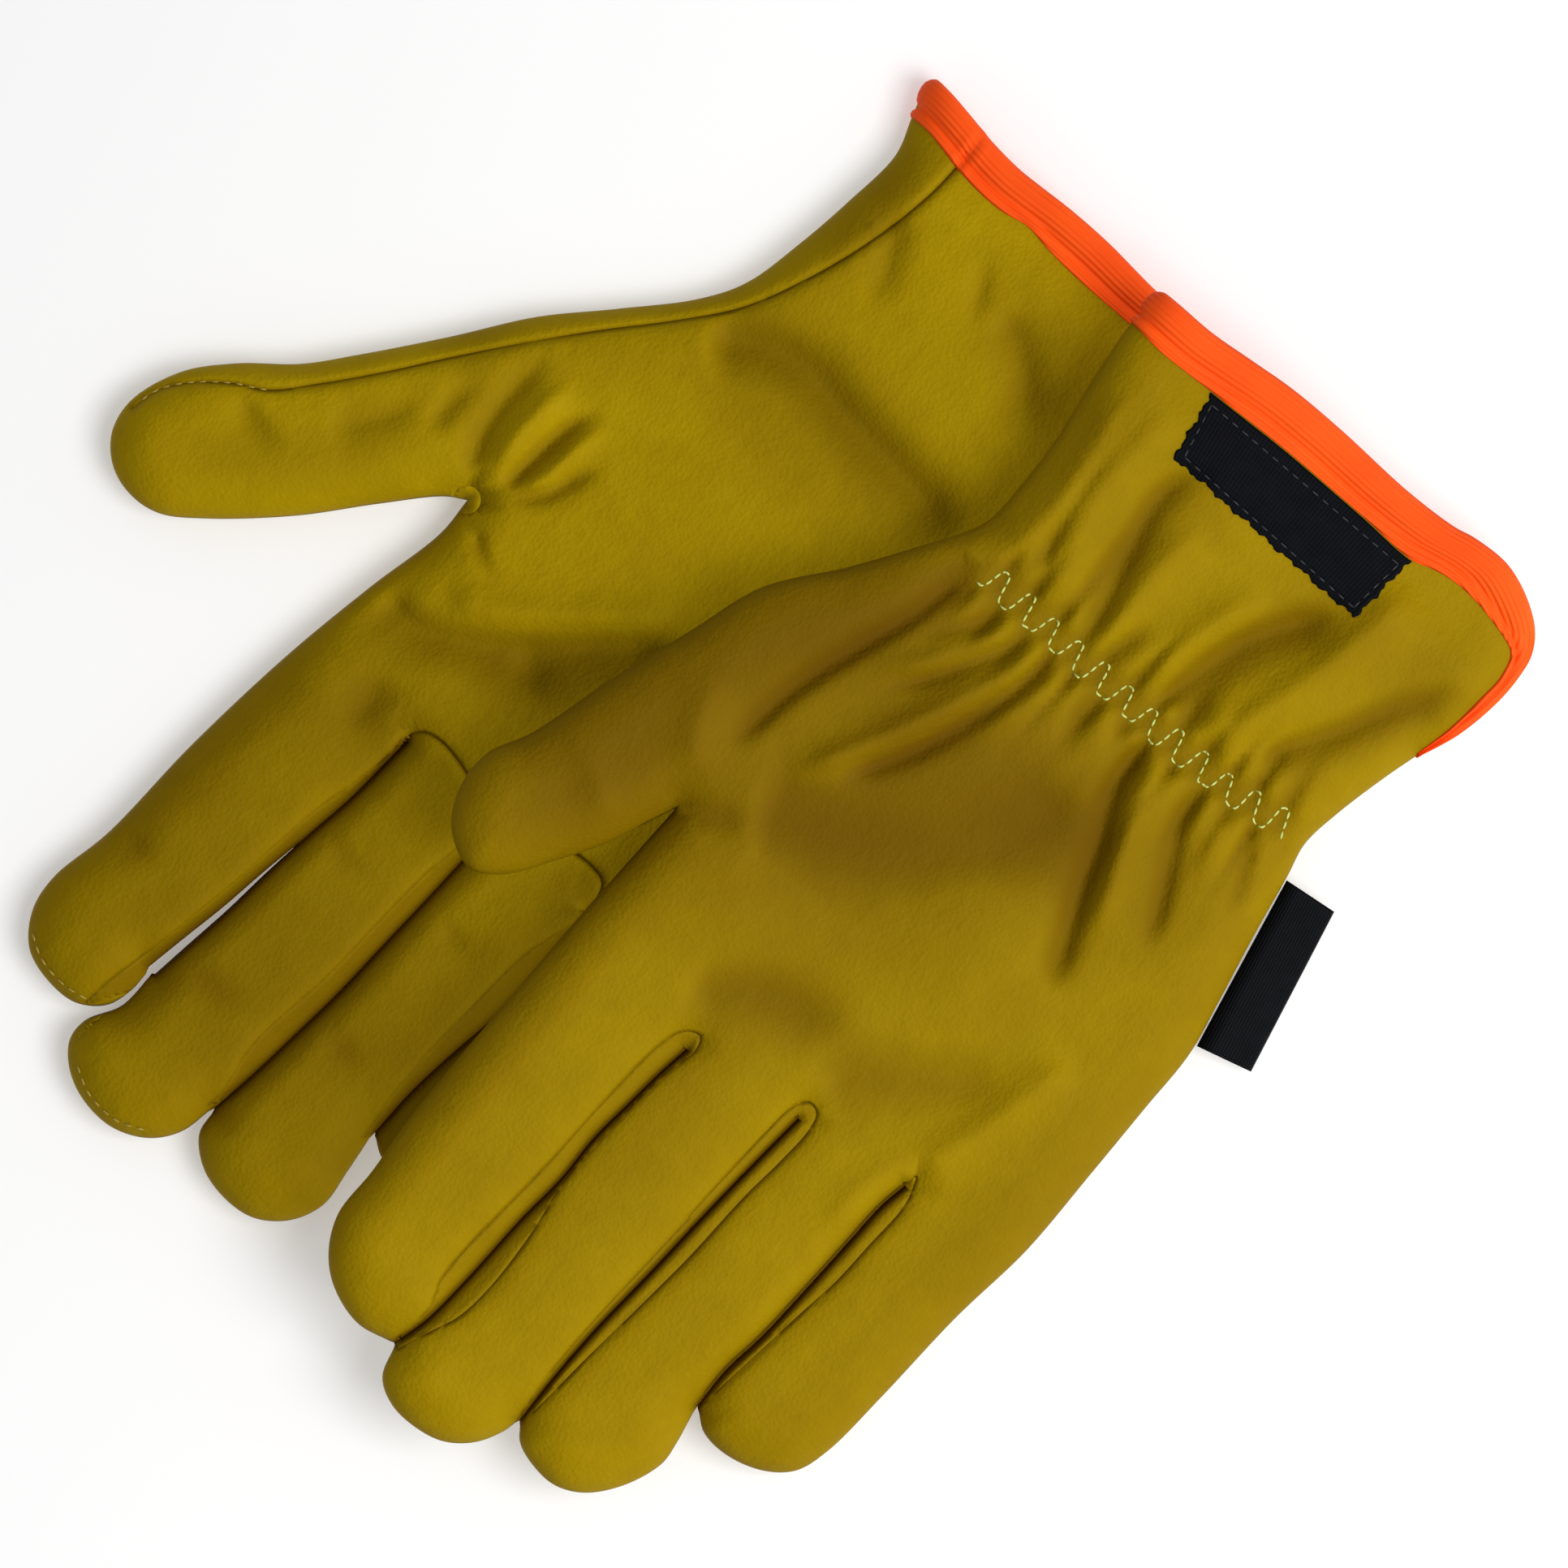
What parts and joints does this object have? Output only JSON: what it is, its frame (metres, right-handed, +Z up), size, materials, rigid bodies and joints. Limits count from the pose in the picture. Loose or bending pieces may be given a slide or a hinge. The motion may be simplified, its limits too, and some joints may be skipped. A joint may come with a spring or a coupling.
{
  "type": "pair of leather work gloves",
  "caption": "Pair of leather drivers' gloves with sewn finger side strips, elastic wrists and a folded fabric binding on the cuffs, the left glove lying across the right.",
  "frame": {"origin": "on the surface the pair lies on, under the palm of the right glove", "axes": "+Z up from the surface, +Y along the gloves towards the cuffs, fingers to -Y, thumbs to -X"},
  "size_m": [0.2363, 0.2452, 0.0484],
  "materials": {
    "leather": "soft grained leather, slight sheen",
    "binding": "ribbed woven tape, bright orange",
    "label": "black woven label and satin tag, bare",
    "elastic": "woven elastic strip inside the wrist"
  },
  "bodies": {
    "right_glove": {"right_palm_panel": "leather", "right_middle_finger_front": "leather", "right_ring_finger_front": "leather", "right_index_middle_fourchette": "leather", "right_middle_ring_fourchette": "leather", "right_ring_little_fourchette": "leather", "right_thumb_gusset": "leather", "right_back_panel": "leather", "right_cuff_binding": "binding", "right_wrist_elastic": "elastic"},
    "left_glove": {"left_palm_panel": "leather", "left_middle_finger_front": "leather", "left_ring_finger_front": "leather", "left_index_middle_fourchette": "leather", "left_middle_ring_fourchette": "leather", "left_ring_little_fourchette": "leather", "left_thumb_gusset": "leather", "left_back_panel": "leather", "left_cuff_binding": "binding", "left_wrist_elastic": "elastic", "left_back_label": "label"},
    "left_tag": {"left_side_tag": "label"}
  },
  "joints": [
    {"name": "left_glove_lift", "type": "slide", "parent": "right_glove", "child": "left_glove", "axis": [0, 0, 1], "range_m": [0, 0.12]},
    {"name": "left_tag_swing", "type": "hinge", "parent": "left_glove", "child": "left_tag", "pos_m": [0.08525, 0.03206, 0.0078], "axis": [0.2374, -0.9693, -0.0636], "range_deg": [-12, 80], "stiffness_Nm_per_rad": 0.001}
  ]
}
